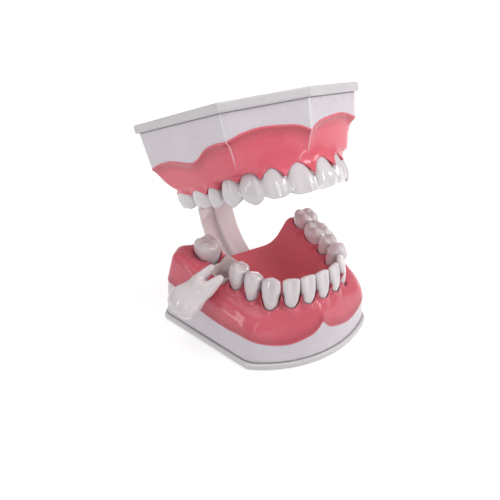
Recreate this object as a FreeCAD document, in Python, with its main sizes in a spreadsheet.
import FreeCAD, Part
import math
import os
import Sketcher

# Dental teaching model (typodont) at twice life size.
# Frame: millimetres, +Z up, +X to the viewer's right (the patient's left), incisors towards -Y.
# Origin: on the underside of the lower base plate, on the midline.
# The upper jaw is modelled with the jaws closed and then turned open about the
# hinge axis (parallel to X, through y = hinge_y, z = hinge_z) by open_deg.

Vector = FreeCAD.Vector
Rotation = FreeCAD.Rotation
Placement = FreeCAD.Placement
doc = FreeCAD.newDocument("typodont")

# ---------------------------------------------------------------- dimensions
DIMENSIONS = [
    ("hinge_y", 119.0, "hinge axis, back from the origin"),
    ("hinge_z", 62.0, "hinge axis, above the table"),
    ("open_deg", 21.0, "how far the jaws stand open at rest"),
    ("lower_plate", 5.0, "lower base plate thickness"),
    ("upper_plate_low", 118.0, "underside of the cap plate, jaws closed"),
    ("upper_plate", 6.0, "upper cap plate thickness"),
    ("lip", 1.2, "plates stand proud of the outline"),
    ("shell_in", 0.8, "shell stands inside the outline"),
    ("shell_wall", 4.0, "shell wall thickness"),
    ("lip_round", 1.4, "rounding of the plate edges"),
    ("corner_round", 3.0, "rounding of the plate corners"),
    ("arc_radius", 55.0, "middle radius of the strap"),
    ("strap_width", 33.0, "width of the strap"),
    ("strap_thick", 4.0, "thickness of the strap"),
    ("rib_width", 5.0, "width of the stiffening rib"),
    ("rib_depth", 7.0, "depth of the stiffening rib"),
    ("arc_deg", 83.4, "angle each strap half spans"),
    ("foot_length", 28.0, "strap foot inside a base"),
    ("barrel", 5.5, "hinge barrel radius"),
    ("bolt_radius", 2.5, "hinge bolt radius"),
    ("bore_clear", 0.05, "radial running clearance in the barrels"),
    ("washer_thick", 1.0, "washer thickness"),
    ("washer_radius", 5.0, "washer radius"),
    ("nut_flats", 9.0, "lock nut across flats"),
    ("nut_thick", 5.0, "lock nut thickness"),
    ("screw_radius", 1.6, "self-tapping screw shank radius"),
    ("screw_head", 3.2, "countersunk head radius"),
    ("screw_length", 14.0, "base screw length"),
    ("arm_screw_length", 8.0, "strap screw length"),
    ("hole_clear", 0.15, "radial clearance of a screw in a plate"),
    ("boss_radius", 4.6, "screw boss radius"),
    ("boss_height", 14.0, "screw boss height"),
    ("gap_root", 0.4, "clearance of a root in its socket"),
    ("floor_z", 29.0, "tongue space floor"),
    ("gum_under", 26.0, "underside of the gum slab"),
    ("crown_top", 64.0, "lower incisal and occlusal level"),
]
sheet = doc.addObject("Spreadsheet::Sheet", "dimensions")
for row, (alias, value, words) in enumerate(DIMENSIONS, start=1):
    sheet.set("A%d" % row, words)
    sheet.set("B%d" % row, repr(value))
    sheet.setAlias("B%d" % row, alias)
doc.recompute()


def dim(alias):
    return float(sheet.get(alias))


HINGE = Vector(0, dim("hinge_y"), dim("hinge_z"))
OPENED = Placement(Vector(0, 0, 0), Rotation(Vector(-1, 0, 0), dim("open_deg")), HINGE)
STRAP_HALF = dim("strap_width") / 2
ARC_CENTRE_Y = dim("hinge_y") - dim("arc_radius")
LOWER_FACE = dim("lower_plate")  # top of the base plate
UPPER_FACE = dim("upper_plate_low")  # underside of the cap plate
MODEL_TOP = UPPER_FACE + dim("upper_plate")
SINK_DEPTH = 0.35  # screw heads sit this far below the outer face
SLOT_CLEAR = 0.2  # room on each side of a strap foot

# Screw places, in plan.
LOWER_BOSSES = [(46.0, -35.0), (-46.0, -35.0), (72.0, 36.0), (-72.0, 36.0)]
UPPER_BOSSES = [(43.0, -31.5), (-43.0, -31.5), (66.0, 46.0), (-66.0, 46.0)]
FOOT_SCREWS = [(10.0, 43.0), (-10.0, 43.0)]

PIECES = []


def keep(obj, upper=False):
    """Lists a finished piece, turned open when it belongs to the upper jaw."""
    if upper:
        obj.Placement = OPENED.multiply(obj.Placement)
    PIECES.append(obj)
    return obj


def add_shape(label, shape, upper=False):
    obj = doc.addObject("Part::Feature", label)
    obj.Shape = shape
    return keep(obj, upper)


# ------------------------------------------------------------- plan outlines
# Front midline point, then the corners of the +X half, front to back.
LOWER_FRONT = (0.0, -57.2)
LOWER_CORNERS = [(52.3, -39.6), (81.7, 39.8), (66.0, 60.0)]
UPPER_FRONT = (0.0, -54.05)
UPPER_CORNERS = [(50.2, -35.8), (75.9, 51.1), (63.0, 63.0)]

# Height where the white base meets the pink gum: (x, z) along the front,
# (y, z) along the sides, (x, z) along the back.
LOWER_EDGE_FRONT = [
    (-52, 23.5), (-39, 20.1), (-30, 19.4), (-21, 20.6), (-13.5, 21.5), (-6, 24.8),
    (1.3, 31.2), (6, 26.0), (12, 22.9), (24, 19.4), (36, 20.2), (52, 23.5),
]
LOWER_EDGE_SIDE = [
    (-39.6, 23.5), (-32, 24.4), (-20.6, 22.7), (-8.4, 23.7), (4, 24.7), (20, 30.0), (37.8, 36.0),
]
LOWER_EDGE_BACK = [(-66, 35.0), (-45, 27.0), (0, 24.0), (45, 27.0), (66, 35.0)]
UPPER_EDGE_FRONT = [
    (-50, 102.0), (-44.7, 103.6), (-38.3, 106), (-30.4, 107.3), (-22.2, 106.6),
    (-12.3, 105), (-4, 102.6), (0.4, 100.6), (4, 102.6), (12, 105),
    (20, 106.2), (28, 106.5), (38, 103.8), (50, 101.5),
]
UPPER_EDGE_SIDE = [
    (-35.8, 102), (-24, 102.2), (-15, 100.6), (-5.8, 95.6), (2.3, 92.6),
    (12.6, 94.2), (25, 96), (37.4, 95.4), (50, 92.2),
]
UPPER_EDGE_BACK = [(-63, 93.0), (-40, 97.0), (0, 99.0), (40, 97.0), (63, 93.0)]


def mirrored(points):
    """Plan points mirrored in the midline, in reverse order."""
    return [(-x, y) for x, y in points[::-1]]


def circle_through(first, second, third):
    """Centre and radius of the circle through three plan points."""
    ax, ay = first
    bx, by = second
    cx, cy = third
    a_sq = ax * ax + ay * ay
    b_sq = bx * bx + by * by
    c_sq = cx * cx + cy * cy
    span = 2 * (ax * (by - cy) + bx * (cy - ay) + cx * (ay - by))
    x = (a_sq * (by - cy) + b_sq * (cy - ay) + c_sq * (ay - by)) / span
    y = (a_sq * (cx - bx) + b_sq * (ax - cx) + c_sq * (bx - ax)) / span
    return x, y, math.hypot(ax - x, ay - y)


def spread(start, end, count):
    """Evenly spaced points from start up to, but not including, end."""
    return [
        (start[0] + (end[0] - start[0]) * k / count, start[1] + (end[1] - start[1]) * k / count)
        for k in range(count)
    ]


def arc_spread(centre_x, centre_y, radius, start, end, count):
    """As spread, along an arc."""
    angle0 = math.atan2(start[1] - centre_y, start[0] - centre_x)
    angle1 = math.atan2(end[1] - centre_y, end[0] - centre_x)
    angles = [angle0 + (angle1 - angle0) * k / count for k in range(count)]
    return [(centre_x + radius * math.cos(a), centre_y + radius * math.sin(a)) for a in angles]


def perimeter(front, corners, arc_front):
    """Anticlockwise plan points, from the front midline round the +X side and back."""
    near, rear, back = corners
    m_near, m_rear, m_back = [(-x, y) for x, y in corners]
    if arc_front:
        front_half = arc_spread(*circle_through(m_near, front, near), front, near, 8)
    else:
        front_half = spread(front, near, 8)
    points = front_half + spread(near, rear, 6) + spread(rear, back, 1)
    points += spread(back, m_back, 6) + spread(m_back, m_rear, 1) + spread(m_rear, m_near, 6)
    return points + [m_near] + mirrored(front_half[1:])


def mitre_vectors(points):
    """Outward mitre of each plan point: moving by d along it offsets the outline by d."""
    out = []
    for i, here in enumerate(points):
        before = points[i - 1]
        after = points[(i + 1) % len(points)]
        heading_in = math.atan2(here[1] - before[1], here[0] - before[0])
        heading_out = math.atan2(after[1] - here[1], after[0] - here[0])
        turn = (heading_out - heading_in + math.pi) % (2 * math.pi) - math.pi
        angle = heading_in + turn / 2 - math.pi / 2
        length = 1 / math.cos(turn / 2)
        out.append((math.cos(angle) * length, math.sin(angle) * length))
    return out


def per_point(value, points):
    """One number repeated for every point, or a list as it stands."""
    return value if isinstance(value, list) else [value] * len(points)


def moved(points, mitres, offset):
    """Plan points moved outwards by one offset, or by one for each point."""
    offsets = per_point(offset, points)
    return [(p[0] + m[0] * d, p[1] + m[1] * d) for p, m, d in zip(points, mitres, offsets)]


def lift(plan, height):
    """Plan points raised to one height, or to one for each point."""
    return [Vector(x, y, z) for (x, y), z in zip(plan, per_point(height, plan))]


def interpolate(pairs, x):
    """Straight-line interpolation in a table of pairs, level beyond its ends."""
    if x <= pairs[0][0]:
        return pairs[0][1]
    for (x0, value0), (x1, value1) in zip(pairs, pairs[1:]):
        if x <= x1:
            return value0 + (value1 - value0) * (x - x0) / (x1 - x0)
    return pairs[-1][1]


def edge_heights(points, corners, front, side, back):
    """Height of the line between base and gum at each plan point."""
    near, _, rearmost = corners
    out = []
    for x, y in points:
        if abs(x) <= near[0] and y <= near[1] + 0.01:
            out.append(interpolate(front, x))
        elif y >= rearmost[1] - 0.01:
            out.append(interpolate(back, x))
        else:
            out.append(interpolate(side, y))
    return out


# ---------------------------------------------------------- flat-faced solids
def flat(points):
    return Part.Face(Part.makePolygon(points + [points[0]]))


def band(low, high, flip=False):
    """Triangles between two closed rings of the same length.

    Flip splits each quad along its other diagonal, so that two solids sharing
    a band meet exactly.
    """
    faces = []
    for i in range(len(low)):
        j = (i + 1) % len(low)
        if flip:
            faces += [flat([low[i], low[j], high[i]]), flat([low[j], high[j], high[i]])]
        else:
            faces += [flat([low[i], low[j], high[j]]), flat([low[i], high[j], high[i]])]
    return faces


def solid_of(faces):
    sewn = Part.makeCompound(faces)
    sewn.sewShape()
    # sewing may return loose faces, which the shell then has to join
    shell = sewn.Shells[0] if sewn.Shells else Part.Shell(faces)
    body = Part.makeSolid(shell)
    if body.Volume < 0:
        body.reverse()
    return body.removeSplitter()


def loft(rings, flipped_band=None):
    """A solid through closed rings, capped flat at both ends."""
    faces = []
    for k, (low, high) in enumerate(zip(rings, rings[1:])):
        faces += band(low, high, k == flipped_band)
    faces += [flat(rings[0]), flat(rings[-1])]
    return solid_of(faces)


def hoop(rings):
    """A ring-shaped solid whose section runs through the rings and closes on the first."""
    faces = []
    for low, high in zip(rings, rings[1:] + rings[:1]):
        faces += band(low, high)
    return solid_of(faces)


def box(x0, x1, y0, y1, z0, z1):
    return Part.makeBox(x1 - x0, y1 - y0, z1 - z0, Vector(x0, y0, z0))


def posts(centres, z, radius, height):
    """Upright cylinders standing on level z."""
    return [Part.makeCylinder(radius, height, Vector(x, y, z)) for x, y in centres]


def arch_block(outer, inner, z, height):
    """Upright U-shaped block between the outer and inner points of its +X half."""
    half = outer + inner[::-1]
    return flat(lift(half + mirrored(half), z)).extrude(Vector(0, 0, height))


def outward(x, y, angle, distance):
    """A plan point of the +X half moved away from the arch line, towards lip or cheek."""
    normal = math.radians(angle)
    return x + distance * math.sin(normal), y - distance * math.cos(normal)


def octagon(x, y, angle, width, depth, z):
    """Anticlockwise eight-sided ring: width along the arch, depth across it."""
    turn = math.radians(angle)
    along_x, along_y = math.cos(turn), math.sin(turn)
    half_w, half_d = width / 2, depth / 2
    short_w = half_w * 0.38 + 0.2
    short_d = half_d * 0.38
    points = [
        (short_w, -half_d), (-short_w, -half_d), (-half_w, -short_d), (-half_w, short_d),
        (-short_w, half_d), (short_w, half_d), (half_w, short_d), (half_w, -short_d),
    ]
    return [
        Vector(x + along * along_x + across * along_y, y + along * along_y - across * along_x, z)
        for along, across in points
    ]


# ------------------------------------------------------- part design helpers
def add_sketch(body, name, plane_role, offset=0.0):
    """An empty sketch on an origin plane of the body, moved off it by offset."""
    plane = [f for f in body.Origin.OriginFeatures if f.Role == plane_role][0]
    sketch = body.newObject("Sketcher::SketchObject", name)
    sketch.AttachmentSupport = [(plane, "")]
    sketch.MapMode = "FlatFace"
    sketch.AttachmentOffset = Placement(Vector(0, 0, offset), Rotation())
    return sketch


def add_lines(sketch, points):
    for start, end in zip(points, points[1:]):
        sketch.addGeometry(Part.LineSegment(Vector(*start, 0), Vector(*end, 0)), False)


def closed_sketch(body, name, plane_role, points, offset=0.0):
    sketch = add_sketch(body, name, plane_role, offset)
    add_lines(sketch, points + points[:1])
    return sketch


def add_circle(sketch, x, y, radius):
    return sketch.addGeometry(Part.Circle(Vector(x, y, 0), Vector(0, 0, 1), radius), False)


def bound_circle(sketch, x, y, *aliases):
    """A circle whose radius is bound to the sum of some driving dimensions."""
    radius = sum(dim(alias) for alias in aliases)
    circle = add_circle(sketch, x, y, radius)
    constraint = sketch.addConstraint(Sketcher.Constraint("Radius", circle, radius))
    expression = " + ".join("dimensions." + alias for alias in aliases)
    sketch.setExpression("Constraints[%d]" % constraint, expression)
    return circle


def add_pad(body, name, profile, length, midplane=True):
    """A pad whose length is a number or the alias of a driving dimension."""
    pad = body.newObject("PartDesign::Pad", name)
    pad.Profile = profile
    if isinstance(length, str):
        pad.setExpression("Length", "dimensions." + length)
    else:
        pad.Length = length
    if midplane:
        pad.Midplane = True
    doc.recompute()
    return pad


def add_pocket(body, name, profile, length=None):
    """A pocket to both sides of its sketch, right through when no length is given."""
    pocket = body.newObject("PartDesign::Pocket", name)
    pocket.Profile = profile
    if length is None:
        pocket.Type = "ThroughAll"
    else:
        pocket.Length = length
    pocket.Midplane = True
    body.Tip = pocket
    doc.recompute()


def add_fillet(body, name, base, wanted, alias):
    """Rounds the edges of base that the wanted test picks."""
    names = ["Edge%d" % i for i, e in enumerate(base.Shape.Edges, start=1) if wanted(e)]
    fillet = body.newObject("PartDesign::Fillet", name)
    fillet.Base = (base, names)
    fillet.setExpression("Radius", "dimensions." + alias)
    doc.recompute()
    return fillet


# ------------------------------------------------------------------- plates
def plate_outline(body, front, corners, arc_front):
    """The plate outline, standing proud of the plan outline by the lip."""
    sketch = add_sketch(body, body.Name + "_outline", "XY_Plane")
    plan = [front] + corners + mirrored(corners)
    points = moved(plan, mitre_vectors(plan), dim("lip"))
    if arc_front:
        ends = [Vector(*points[-1], 0), Vector(*points[1], 0)]
        middle = Vector(0.0, front[1] - dim("lip"), 0)
        sketch.addGeometry(Part.Arc(ends[0], middle, ends[1]), False)
        add_lines(sketch, points[1:])
    else:
        add_lines(sketch, points + points[:1])
    return sketch


def plate_body(name, front, corners, arc_front, thick_alias, screw_places):
    """A rounded plate on z = 0 with screw holes right through."""
    body = doc.addObject("PartDesign::Body", name)
    outline = plate_outline(body, front, corners, arc_front)
    pad = add_pad(body, name + "_pad", outline, thick_alias, midplane=False)

    def upright_corner(edge):
        # a corner on the front midline stays crisp
        upright = abs(edge.tangentAt(edge.FirstParameter).z) > 0.9
        return upright and abs(edge.CenterOfMass.x) > 1

    def rim(edge):
        bounds = edge.BoundBox
        return any(
            abs(bounds.ZMin - z) < 1e-4 and abs(bounds.ZMax - z) < 1e-4
            for z in (0.0, dim(thick_alias))
        )

    rounded = add_fillet(body, name + "_corners", pad, upright_corner, "corner_round")
    add_fillet(body, name + "_rims", rounded, rim, "lip_round")

    holes = add_sketch(body, name + "_holes", "XY_Plane")
    for x, y in screw_places:
        circle = bound_circle(holes, x, y, "screw_radius", "hole_clear")
        holes.addConstraint(Sketcher.Constraint("DistanceX", -1, 1, circle, 3, x))
        holes.addConstraint(Sketcher.Constraint("DistanceY", -1, 1, circle, 3, y))
    add_pocket(body, name + "_through", holes)
    return body


def countersinks(centres, face_z, direction):
    """Screw head recesses going inwards (direction +1 up, -1 down) from an outer face."""
    shank, head = dim("screw_radius"), dim("screw_head")
    axis = Vector(0, 0, direction)
    out = []
    for x, y in centres:
        out.append(Part.makeCylinder(head + 0.1, SINK_DEPTH, Vector(x, y, face_z), axis))
        cone_base = Vector(x, y, face_z + SINK_DEPTH * direction)
        out.append(Part.makeCone(head, shank, head - shank, cone_base, axis))
    return out


def plate(label, front, corners, thick_alias, bosses, low_z, upper):
    """A plate in place; the lower one has an arc front, the upper one a foot seat."""
    places = bosses + FOOT_SCREWS
    body = plate_body(label + "_body", front, corners, not upper, thick_alias, places)
    body.Placement.Base = Vector(0, 0, low_z)
    if upper:
        cutters = countersinks(places, low_z + dim(thick_alias), -1)
        # seat for the strap foot in the underside
        half = STRAP_HALF + SLOT_CLEAR
        seat_front = ARC_CENTRE_Y - dim("foot_length") - SLOT_CLEAR
        cutters.append(box(-half, half, seat_front, 70, low_z - 2, low_z + 1.0))
    else:
        cutters = countersinks(places, low_z, 1)
    tool = doc.addObject("Part::Feature", label + "_sinks")
    tool.Shape = Part.makeCompound(cutters)
    cut = doc.addObject("Part::Cut", label)
    cut.Base = body
    cut.Tool = tool
    doc.recompute()
    keep(cut, upper)


# --------------------------------------------------------------- the screws
CROSS_LENGTH = 3.6
CROSS_WIDTH = 0.9


def boolean(kind, name, base, tool):
    obj = doc.addObject(kind, name)
    obj.Base = base
    obj.Tool = tool
    return obj


def screw(label, number, x, y, length_alias, face_z, direction):
    """A countersunk cross-recess screw, its shank pointing up or down by direction."""
    name = label + "_%s" + str(number)
    shank = doc.addObject("Part::Cylinder", name % "shank")
    shank.setExpression("Radius", "dimensions.screw_radius")
    shank.setExpression("Height", "dimensions." + length_alias)
    head = doc.addObject("Part::Cone", name % "head")
    head.setExpression("Radius1", "dimensions.screw_head")
    head.setExpression("Radius2", "dimensions.screw_radius")
    head.setExpression("Height", "dimensions.screw_head - dimensions.screw_radius")
    blank = boolean("Part::Fuse", name % "solid", shank, head)

    slots = []
    sizes = ((CROSS_LENGTH, CROSS_WIDTH), (CROSS_WIDTH, CROSS_LENGTH))
    for letter, (size_x, size_y) in zip("ab", sizes):
        slot = doc.addObject("Part::Box", name % "slot" + letter)
        slot.Length = size_x
        slot.Width = size_y
        slot.Height = 1.0
        slot.Placement.Base = Vector(-size_x / 2, -size_y / 2, -0.2)
        slots.append(slot)
    cross = boolean("Part::Fuse", name % "cross", *slots)

    cut = boolean("Part::Cut", name % "screw", blank, cross)
    turn = Rotation() if direction > 0 else Rotation(Vector(1, 0, 0), 180)
    cut.Placement = Placement(Vector(x, y, face_z + SINK_DEPTH * direction), turn)
    return cut


def grouped(label, members, upper=False):
    group = doc.addObject("Part::Compound", label)
    group.Links = members
    doc.recompute()
    keep(group, upper)


def screws(label, centres, length_alias, upper):
    """Identical screws driven in from the outer face of one plate, in one group."""
    face_z, direction = (MODEL_TOP, -1) if upper else (0.0, 1)
    members = [
        screw(label, k, x, y, length_alias, face_z, direction)
        for k, (x, y) in enumerate(centres)
    ]
    grouped(label, members, upper)


# ------------------------------------------------------------ the strap arms
# Start and end of each hinge knuckle along X.
LOWER_KNUCKLES = [(-STRAP_HALF, -10.35), (-3.0, 3.0), (10.35, STRAP_HALF)]
UPPER_KNUCKLES = [(-10.0, -3.35), (3.35, 10.0)]
FOOT_CHAMFER = 3.0


def add_strap(body, label, sign):
    """T-section strap swung about the arc centre."""
    half, radius = STRAP_HALF, dim("arc_radius")
    thick, rib = dim("strap_thick") / 2, dim("rib_width") / 2
    outside, inside = -radius - thick, -radius + thick
    rib_end = inside + dim("rib_depth")
    section = [
        (-half, outside), (half, outside), (half, inside), (rib, inside),
        (rib, rib_end), (-rib, rib_end), (-rib, inside), (-half, inside),
    ]
    section = [(x, sign * z) for x, z in section]
    sketch = closed_sketch(body, label + "_section", "XZ_Plane", section)
    doc.recompute()
    sweep = body.newObject("PartDesign::Revolution", label + "_sweep")
    sweep.Profile = sketch
    sweep.ReferenceAxis = (sketch, ["H_Axis"])
    sweep.setExpression("Angle", "dimensions.arc_deg")
    doc.recompute()
    # the strap has to curve towards the back
    if sweep.Shape.BoundBox.YMax < 20:
        sweep.Reversed = not sweep.Reversed
        doc.recompute()


def add_foot(body, label, sign):
    """Flat foot that screws down inside a base."""
    half, length = STRAP_HALF, dim("foot_length")
    outline = [
        (-half, -length + FOOT_CHAMFER), (-half + FOOT_CHAMFER, -length),
        (half - FOOT_CHAMFER, -length), (half, -length + FOOT_CHAMFER),
        (half, 0.01), (-half, 0.01),
    ]
    level = -sign * dim("arc_radius")
    sketch = closed_sketch(body, label + "_foot_outline", "XY_Plane", outline, level)
    add_pad(body, label + "_foot", sketch, "strap_thick")


def add_knuckles(body, label, sign, knuckles):
    """A barrel and a tab for each knuckle, spaced along the hinge axis."""
    radius, thick = dim("arc_radius"), dim("strap_thick") / 2
    # the tab runs from the hinge level to 2 degrees inside the strap's end
    tab_z = -sign * radius * math.cos(math.radians(dim("arc_deg") - 2.0))
    tab_outline = [
        (radius - thick, tab_z), (radius + thick, tab_z), (radius + thick, 0), (radius - thick, 0),
    ]
    for k, (x0, x1) in enumerate(knuckles):
        middle = (x0 + x1) / 2
        barrel_name = "%s_barrel%d" % (label, k)
        barrel = add_sketch(body, barrel_name + "_s", "YZ_Plane", middle)
        bound_circle(barrel, radius, 0, "barrel")
        add_pad(body, barrel_name, barrel, x1 - x0)
        tab_name = "%s_tab%d" % (label, k)
        tab = closed_sketch(body, tab_name + "_s", "YZ_Plane", tab_outline, middle)
        add_pad(body, tab_name, tab, x1 - x0)


def arm(label, sign, knuckles, upper):
    """One strap half, about the arc centre; sign is +1 below the hinge level, -1 above."""
    body = doc.addObject("PartDesign::Body", label)
    radius = dim("arc_radius")
    add_strap(body, label, sign)
    add_foot(body, label, sign)
    add_knuckles(body, label, sign, knuckles)

    bore = add_sketch(body, label + "_bore_s", "YZ_Plane")
    bound_circle(bore, radius, 0, "bolt_radius", "bore_clear")
    add_pocket(body, label + "_bore", bore)

    holes = add_sketch(body, label + "_holes_s", "XY_Plane", -sign * radius)
    for x, y in FOOT_SCREWS:
        add_circle(holes, x, y - ARC_CENTRE_Y, dim("screw_radius") + 0.02)
    add_pocket(body, label + "_holes", holes, 8)

    body.Placement.Base = Vector(0, ARC_CENTRE_Y, dim("hinge_z"))
    keep(body, upper)


# ------------------------------------------------------ base shells and gums
GUM_TUCK = 1.5  # the gum narrows by this inside the shell


class Jaw:
    """Plan outline of a jaw's base, with its line between shell and gum.

    sign is +1 for the lower jaw, which grows up from face_z, and -1 for the
    upper jaw, which grows down from it.
    """

    def __init__(self, front, corners, edges, face_z, sign, draft_deg):
        self.plan = perimeter(front, corners, sign > 0)
        self.mitres = mitre_vectors(self.plan)
        self.edge_z = edge_heights(self.plan, corners, *edges)
        self.face_z = face_z
        self.sign = sign
        draft = math.tan(math.radians(draft_deg))
        self.edge_offsets = [
            -dim("shell_in") - sign * (z - face_z) * draft for z in self.edge_z
        ]

    def ring(self, offset, z):
        return lift(moved(self.plan, self.mitres, offset), z)

    def upwards(self, rings):
        """Rings listed away from the face, put in order from the lowest up."""
        return rings if self.sign > 0 else rings[::-1]

    def inside(self, depth):
        """Offsets of the edge line, moved further in by depth."""
        return [d - depth for d in self.edge_offsets]


def base_shell(label, jaw, bosses, boss_z, hole_z, foot_slot):
    """White drafted wall with screw bosses and a slot for the strap foot."""
    wall, offset = dim("shell_wall"), -dim("shell_in")
    shell = hoop(jaw.upwards([
        jaw.ring(offset, jaw.face_z),
        jaw.ring(jaw.edge_offsets, jaw.edge_z),
        jaw.ring(jaw.inside(wall), jaw.edge_z),
        jaw.ring(offset - wall, jaw.face_z),
    ]))
    shell = shell.fuse(posts(bosses, boss_z, dim("boss_radius"), dim("boss_height")))
    cutters = posts(bosses, hole_z, dim("screw_radius"), 12.0)
    half = STRAP_HALF + SLOT_CLEAR
    cutters.append(box(-half, half, *foot_slot))
    add_shape(label, shell.cut(cutters).removeSplitter(), jaw.sign < 0)


def gum_block(jaw, hidden_z, bend_z, lean_deg, ridge_run, ridge_start, ridge_level):
    """Gum slab: a leaning outer wall, a bend, and a slope up to the flat ridge plane.

    ridge_run is the inward run per unit of height past the bend, and
    ridge_level gives the height of the ridge plane at a y.
    """
    lean = math.tan(math.radians(lean_deg))
    bend_offsets = [
        d - jaw.sign * (bend_z - z) * lean for d, z in zip(jaw.edge_offsets, jaw.edge_z)
    ]
    ridge, ridge_z = [], []
    for point, mitre, bend_offset in zip(jaw.plan, jaw.mitres, bend_offsets):
        z = ridge_start
        # offset and height depend on each other, so they are settled in turns
        for _ in range(8):
            offset = bend_offset - jaw.sign * (z - bend_z) * ridge_run
            place = (point[0] + mitre[0] * offset, point[1] + mitre[1] * offset)
            z = ridge_level(place[1])
        ridge.append(place)
        ridge_z.append(z)
    wall = dim("shell_wall")
    rings = jaw.upwards([
        jaw.ring(jaw.inside(wall + GUM_TUCK), hidden_z),
        jaw.ring(jaw.inside(wall), jaw.edge_z),
        jaw.ring(jaw.edge_offsets, jaw.edge_z),
        jaw.ring(bend_offsets, bend_z),
        lift(ridge, ridge_z),
    ])
    # the band lying on the shell's edge is split as the shell's own
    return loft(rings, flipped_band=1 if jaw.sign > 0 else 2)


def largest_solid(shape):
    return max(shape.Solids, key=lambda solid: solid.Volume)


# ---------------------------------------------------------- lower jaw pieces
FRONT_TEETH = ("central_incisor", "lateral_incisor", "canine")

# Name, centre x and y, arch angle, width along the arch, depth across it at
# the bulge, neck height, root tip height, root count.
LOWER_TEETH = [
    ("central_incisor", 5.79, -40.53, 5.0, 11.2, 11.0, 45.0, 24.0, 1),
    ("lateral_incisor", 17.30, -38.08, 21.3, 11.6, 11.5, 45.0, 24.0, 1),
    ("canine", 27.94, -30.82, 48.2, 13.4, 14.0, 42.5, 21.0, 1),
    ("first_premolar", 34.66, -18.64, 69.8, 13.4, 14.0, 45.0, 23.0, 1),
    ("second_premolar", 38.56, -4.89, 77.7, 14.2, 15.0, 46.5, 23.0, 1),
    ("first_molar", 41.72, 13.13, 81.4, 21.6, 19.0, 49.5, 21.5, 2),
    ("second_molar", 44.87, 34.10, 81.5, 20.0, 18.5, 51.5, 23.5, 2),
]
RIDGE_SLOPE = 0.115
RIDGE_Y = -45.0  # where the lower ridge is at its front height
BLOCK_BACK_Y = 47.0
# Half plan of the tongue space at its top, from the midline back.
TONGUE_PLAN = [
    (0, -31.5), (11.0, -30.5), (20.0, -24.5), (26.0, -13.0),
    (29.5, -2.0), (31.5, 14.0), (34.0, 34.0), (36.0, 80.0),
]


def lower_ridge(y):
    """Level of the lower gum ridge, rising towards the back."""
    return 47.0 + (y - RIDGE_Y) * RIDGE_SLOPE


def root_block():
    """Horseshoe block along the arch, its top parallel to the gum ridge."""
    outer, inner = [], []
    for _, x, y, angle, *_ in LOWER_TEETH:
        along = (y + 40.5) / 75.0  # 0 at the incisors, about 1 at the last molar
        outer.append(outward(x, y, angle, 5.6 + 6.2 * along))
        inner.append(outward(x, y, angle, -4.6 - 4.8 * along))
    for side in (outer, inner):
        side.append((side[-1][0] + 1.5, BLOCK_BACK_Y))
    inner[0] = (inner[0][0] + 0.2, inner[0][1])
    block = arch_block(outer, inner, LOWER_FACE, 60)
    lid = box(-120, 120, -120, 120, 0, 60)
    lid.rotate(Vector(0, 0, 0), Vector(1, 0, 0), math.degrees(math.atan(RIDGE_SLOPE)))
    lid.translate(Vector(0, RIDGE_Y, lower_ridge(RIDGE_Y) - 4.2))
    return block.cut(lid)


def lower_tooth(entry, side, gap=0.0):
    """A tooth in place on side +1 or -1 of X, or the cutter for its socket when gap is set."""
    name, x, y, angle, width, depth, neck, tip, roots = entry
    angle *= side
    turn = math.radians(angle)
    top = dim("crown_top")
    front = name in FRONT_TEETH

    def ring(wide, deep, z, shift=0.0):
        """Octagon about the tooth's axis, or shifted along the arch."""
        centre_x = side * x + shift * math.cos(turn)
        centre_y = y + shift * math.sin(turn)
        return octagon(centre_x, centre_y, angle, wide + 2 * gap, deep + 2 * gap, z)

    if roots == 1:
        neck_w, neck_d = width * 0.80, depth * 0.86
    else:
        neck_w, neck_d = width * 0.86, depth * 0.84
    bulge_z = neck + (top - neck) * 0.55
    bulge_d = depth * 0.80 if front else depth
    if gap:
        mouth_d = max(bulge_d, neck_d)
        crown = loft([
            ring(neck_w, neck_d, neck - 1),
            ring(width, mouth_d, bulge_z - 1),
            ring(width, mouth_d, top + 2),
        ])
    else:
        if name == "canine":
            top_w, top_d = width * 0.45, 4.0
        elif front:
            top_w, top_d = width * 0.90, 3.2
        else:
            top_w, top_d = width * 0.66, depth * 0.56
        crown = loft([
            ring(neck_w, neck_d, neck),
            ring(width, bulge_d, bulge_z),
            ring(top_w, top_d, top),
        ])
    if roots == 1:
        root = loft([ring(neck_w * 0.55, neck_d * 0.60, tip), ring(neck_w, neck_d, neck)])
        return crown.fuse(root)

    # two roots, front and back along the arch, under a short trunk
    fork = tip + 11.5
    trunk_w = neck_w * 0.96
    trunk = loft([ring(trunk_w, neck_d * 0.96, fork), ring(neck_w, neck_d, neck)])
    out = crown.fuse(trunk)
    root_w, root_d = neck_w * 0.40, neck_d * 0.92
    for end in (-1, 1):
        shift = end * (trunk_w / 2 - root_w / 2 - 0.2)
        out = out.fuse(loft([
            ring(root_w * 0.55, neck_d * 0.40, tip, shift),
            ring(root_w, root_d, fork + 0.5, shift),
        ]))
        if gap:
            # straight up from the root's widest part, so the tooth pulls out freely
            out = out.fuse(loft([
                ring(root_w, root_d, fork + 0.4, shift),
                ring(root_w, root_d, top + 2, shift),
            ]))
    return out


def tongue_space():
    top = TONGUE_PLAN + mirrored(TONGUE_PLAN[1:])
    low = [(x * 0.74, y + (6.0 if y < 0 else 0.0)) for x, y in top]
    return loft([lift(low, dim("floor_z")), lift(top, 64.0)])


def lower_gum(jaw, blank, core, sockets):
    gum = gum_block(
        jaw,
        hidden_z=dim("gum_under"),
        bend_z=42.0,
        lean_deg=14.0,
        ridge_run=0.55,
        ridge_start=50.0,
        ridge_level=lower_ridge,
    )
    gum = gum.cut([tongue_space()])
    gum = gum.cut([core])
    gum = gum.cut(sockets)
    # the gum also gives way inside the block's sockets
    gum = gum.cut(blank).removeSplitter()
    add_shape("lower_gum", largest_solid(gum))


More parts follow.
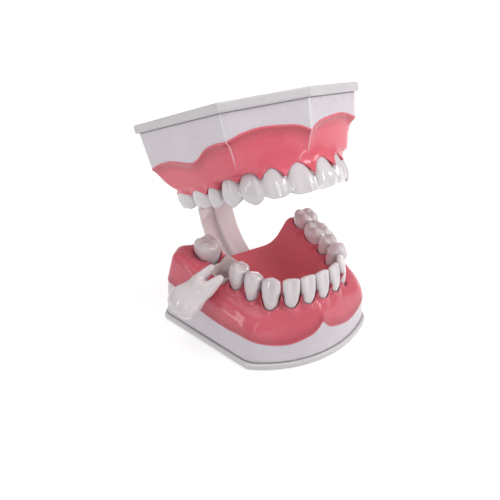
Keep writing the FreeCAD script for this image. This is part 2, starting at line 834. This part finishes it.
# One molar is out of its socket and leans on the slope of the gum, crown down and out.
LOOSE_TOOTH = "lower_right_first_molar"
LOOSE_ENTRY = LOWER_TEETH[5]
LOOSE_PIVOT_Z = 43.0  # level on the standing tooth that goes to LOOSE_PLACE
LOOSE_PLACE = (-69.6, 0.36, 48.0)
LOOSE_WIDTH_AXIS = Vector(-0.1675, 0.9227, 0.3473)
LOOSE_CROWN_AXIS = Vector(-0.7946, 0.0822, -0.6016)


def loose_placement():
    """Stands the tooth upright at the origin, then turns and carries it to its place."""
    _, x, y, angle, *_ = LOOSE_ENTRY
    unturn = Placement(Vector(0, 0, 0), Rotation(Vector(0, 0, 1), angle))
    local = unturn.multiply(Placement(Vector(x, -y, -LOOSE_PIVOT_Z), Rotation()))
    crown = Vector(LOOSE_CROWN_AXIS)
    crown.normalize()
    width = LOOSE_WIDTH_AXIS - crown * LOOSE_WIDTH_AXIS.dot(crown)
    width.normalize()
    depth = crown.cross(width)
    place_x, place_y, place_z = LOOSE_PLACE
    matrix = FreeCAD.Matrix(
        width.x, depth.x, crown.x, place_x,
        width.y, depth.y, crown.y, place_y,
        width.z, depth.z, crown.z, place_z,
        0, 0, 0, 1,
    )
    return Placement(matrix).multiply(local)


def lower_teeth_and_gum(jaw):
    """Socket block, gum and the separate teeth of the lower jaw."""
    teeth, sockets = [], []
    for side_name, side in (("right", -1), ("left", 1)):
        for entry in LOWER_TEETH:
            sockets.append(lower_tooth(entry, side, dim("gap_root")))
            label = "lower_%s_%s" % (side_name, entry[0])
            teeth.append((label, lower_tooth(entry, side).removeSplitter()))
    blank = root_block()
    core = blank.cut(sockets).removeSplitter()
    add_shape("lower_socket_block", core)
    lower_gum(jaw, blank, core, sockets)
    for label, solid in teeth:
        piece = add_shape(label, solid)
        if label == LOOSE_TOOTH:
            piece.Placement = loose_placement()


# ---------------------------------------------------------------- the hinge
HEAD_X = -STRAP_HALF - dim("washer_thick")  # inner face of the bolt head
NUT_X = STRAP_HALF + dim("washer_thick")  # inner face of the nut


def hinge_bolt():
    """Domed, slotted bolt along X, its head on the -X side."""
    body = doc.addObject("PartDesign::Body", "hinge_bolt")
    radius = dim("bolt_radius")
    end_x = NUT_X + dim("nut_thick") + 1.5
    chamfer = 0.6
    # (x, radius) from the top of the head to the far end
    outline = [
        (HEAD_X - 3.4, 0), (HEAD_X - 3.0, 2.4), (HEAD_X - 1.8, 3.9), (HEAD_X, 4.6),
        (HEAD_X, radius), (end_x - chamfer, radius), (end_x, radius - chamfer), (end_x, 0),
    ]
    profile = closed_sketch(body, "hinge_bolt_profile", "XZ_Plane", outline)
    doc.recompute()
    turned = body.newObject("PartDesign::Revolution", "hinge_bolt_turned")
    turned.Profile = profile
    turned.ReferenceAxis = (profile, ["H_Axis"])
    turned.Angle = 360
    doc.recompute()
    slot_outline = [(-0.6, -3.4), (0.6, -3.4), (0.6, 3.4), (-0.6, 3.4)]
    slot = closed_sketch(
        body, "hinge_bolt_slot_outline", "YZ_Plane", slot_outline, HEAD_X - 3.5
    )
    add_pocket(body, "hinge_bolt_slot", slot, 3.0)
    body.Placement.Base = HINGE
    keep(body)


def hinge_nut():
    body = doc.addObject("PartDesign::Body", "hinge_nut")
    radius = dim("nut_flats") / 2 / math.cos(math.pi / 6)
    angles = [math.radians(60 * k) for k in range(6)]
    hexagon = [(radius * math.cos(a), radius * math.sin(a)) for a in angles]
    sketch = closed_sketch(body, "hinge_nut_hexagon", "YZ_Plane", hexagon, NUT_X)
    add_pad(body, "hinge_nut_body", sketch, "nut_thick", midplane=False)
    hole = add_sketch(body, "hinge_nut_hole_outline", "YZ_Plane")
    add_circle(hole, 0, 0, dim("bolt_radius") + 0.01)
    add_pocket(body, "hinge_nut_hole", hole)
    body.Placement.Base = HINGE
    keep(body)


def hinge_washers():
    """One washer under the bolt head and one under the nut."""
    washers = []
    for k, x in enumerate((HEAD_X, STRAP_HALF)):
        disc = doc.addObject("Part::Cylinder", "washer_disc%d" % k)
        disc.setExpression("Radius", "dimensions.washer_radius")
        disc.setExpression("Height", "dimensions.washer_thick")
        bore = doc.addObject("Part::Cylinder", "washer_bore%d" % k)
        bore.setExpression("Radius", "dimensions.bolt_radius + dimensions.bore_clear")
        bore.setExpression("Height", "dimensions.washer_thick * 3")
        bore.Placement.Base = Vector(0, 0, -dim("washer_thick"))
        washer = boolean("Part::Cut", "washer%d" % k, disc, bore)
        along_x = Rotation(Vector(0, 1, 0), 90)
        washer.Placement = Placement(Vector(x, HINGE.y, HINGE.z), along_x)
        washers.append(washer)
    grouped("hinge_washers", washers)


# ---------------------------------------------------------- upper jaw pieces
# Name, cusp line x and y, arch angle, width, depth, neck height at the cheek
# side, bite level there.
UPPER_TEETH = [
    ("central_incisor", 8.9, -47.5, 13.0, 17.7, 12.0, 81.5, 63.3),
    ("lateral_incisor", 24.4, -41.2, 30.0, 15.6, 11.5, 80.8, 63.4),
    ("canine", 35.4, -31.8, 51.0, 15.4, 13.5, 81.5, 61.3),
    ("first_premolar", 43.6, -16.6, 71.0, 17.6, 17.0, 79.0, 61.2),
    ("second_premolar", 48.9, -1.9, 71.8, 12.0, 17.0, 76.0, 61.2),
    ("first_molar", 52.5, 13.3, 79.8, 20.0, 20.0, 74.5, 61.0),
    ("second_molar", 56.3, 33.4, 79.3, 20.6, 20.0, 73.5, 60.6),
]
BACK_CENTRE = 0.46  # a back tooth's middle lies this share of its depth inside the cusps
RAIL_HALF = 2.6
# Half plan of the palate at its mouth, from the midline back.
PALATE_PLAN = [
    (0, -33.0), (12.0, -31.5), (22.0, -24.0), (28.0, -10.0),
    (32.0, 4.0), (34.0, 20.0), (36.0, 40.0), (37.0, 56.0),
]


def upper_crown(side, name, x, y, angle, width, depth, neck, bite):
    """Solids of one crown on side +1 or -1 of X."""

    def ring(inset, wide, deep, z):
        """Octagon moved in from the cusp line by inset."""
        centre_x, centre_y = outward(x, y, angle, -inset)
        return octagon(side * centre_x, centre_y, side * angle, wide, deep, z)

    if name in FRONT_TEETH:
        tip_w = width * (0.4 if name == "canine" else 0.86)
        return [loft([
            ring(0.0, tip_w, 1.6, bite),
            ring(1.8, width, 6.2, bite + 6),
            ring(5.6, width * 0.94, depth * 0.8, neck),
            ring(6.4, width * 0.76, depth * 0.6, neck + 6),
        ])]
    middle = depth * BACK_CENTRE
    main = loft([
        ring(depth * 0.52, width * 0.84, depth * 0.62, 64.6),
        ring(middle, width, depth, 69.0),
        ring(middle, width * 0.9, depth * 0.9, neck),
        ring(middle, width * 0.75, depth * 0.7, neck + 9),
    ])
    cusp = loft([
        ring(0.2, width * 0.5, 1.6, bite + 0.2),
        ring(1.6, width * 0.86, 5.0, 65.8),
    ])
    return [main, cusp]


def crown_rail():
    """Hidden rail that joins the crowns inside the gum."""
    outer, inner = [], []
    for name, x, y, angle, _, depth, *_ in UPPER_TEETH:
        middle = 6.0 if name in FRONT_TEETH else depth * BACK_CENTRE
        outer.append(outward(x, y, angle, RAIL_HALF - middle))
        inner.append(outward(x, y, angle, -RAIL_HALF - middle))
    return arch_block(outer, inner, 79.0, 7.0)


def upper_teeth_row():
    crowns = []
    for side in (1, -1):
        for entry in UPPER_TEETH:
            crowns += upper_crown(side, *entry)
    row = crowns[0].fuse(crowns[1:] + [crown_rail()]).removeSplitter()
    add_shape("upper_teeth_row", row, True)
    return row


def palate():
    low = PALATE_PLAN + mirrored(PALATE_PLAN[1:])
    high = [(x * 0.62, y * 0.72 + 6.0) for x, y in low]
    return loft([lift(low, 70.0), lift(high, 97.5)])


def upper_gum(jaw, teeth):
    gum = gum_block(
        jaw,
        hidden_z=103.5,
        bend_z=88.0,
        lean_deg=9.0,
        ridge_run=0.42,
        ridge_start=78.0,
        ridge_level=lambda y: 80.0 - (y + 45.0) * 0.085,
    )
    gum = gum.cut([palate()])
    gum = gum.cut([teeth])
    clear = 0.2  # around and under the bosses
    boss_low = UPPER_FACE - dim("boss_height") - clear
    gum = gum.cut(posts(UPPER_BOSSES, boss_low, dim("boss_radius") + clear, 20.0))
    add_shape("upper_gum", largest_solid(gum.removeSplitter()), True)


# -------------------------------------------------------------------- build
plate("lower_base_plate", LOWER_FRONT, LOWER_CORNERS, "lower_plate", LOWER_BOSSES, 0.0, False)
plate(
    "upper_cap_plate", UPPER_FRONT, UPPER_CORNERS, "upper_plate", UPPER_BOSSES, UPPER_FACE, True
)

lower_jaw = Jaw(
    LOWER_FRONT,
    LOWER_CORNERS,
    (LOWER_EDGE_FRONT, LOWER_EDGE_SIDE, LOWER_EDGE_BACK),
    LOWER_FACE,
    sign=1,
    draft_deg=5.0,
)
base_shell(
    "lower_base_shell",
    lower_jaw,
    LOWER_BOSSES,
    boss_z=LOWER_FACE,
    hole_z=LOWER_FACE - 1,
    foot_slot=(50, 70, LOWER_FACE - 1, LOWER_FACE + dim("strap_thick") + 0.1),
)
lower_teeth_and_gum(lower_jaw)
screws("lower_plate_screws", LOWER_BOSSES, "screw_length", False)
arm("lower_arm", 1, LOWER_KNUCKLES, False)
screws("lower_arm_screws", FOOT_SCREWS, "arm_screw_length", False)

hinge_bolt()
hinge_nut()
hinge_washers()

upper_jaw = Jaw(
    UPPER_FRONT,
    UPPER_CORNERS,
    (UPPER_EDGE_FRONT, UPPER_EDGE_SIDE, UPPER_EDGE_BACK),
    UPPER_FACE,
    sign=-1,
    draft_deg=6.0,
)
upper_foot_low = dim("hinge_z") + dim("arc_radius") - dim("strap_thick") / 2
base_shell(
    "upper_base_shell",
    upper_jaw,
    UPPER_BOSSES,
    boss_z=UPPER_FACE - dim("boss_height"),
    hole_z=UPPER_FACE - 11.0,
    foot_slot=(50, 75, upper_foot_low - 0.1, UPPER_FACE + 1),
)
upper_gum(upper_jaw, upper_teeth_row())
screws("upper_cap_screws", UPPER_BOSSES, "screw_length", True)
arm("upper_arm", -1, UPPER_KNUCKLES, True)
screws("upper_arm_screws", FOOT_SCREWS, "arm_screw_length", True)

# ----------------------------------------------------------- check and save
doc.recompute()
faults = []
for obj in doc.Objects:
    if "Invalid" in obj.State or "Error" in obj.State:
        faults.append("%s state %s" % (obj.Name, obj.State))
for obj in PIECES:
    shape = obj.Shape
    if shape.isNull() or not shape.isValid() or not shape.Solids:
        faults.append("%s has no valid solid" % obj.Label)
if faults:
    raise RuntimeError("; ".join(faults))

os.makedirs("parts", exist_ok=True)
for obj in PIECES:
    obj.Shape.exportStep("parts/%s.step" % obj.Label)
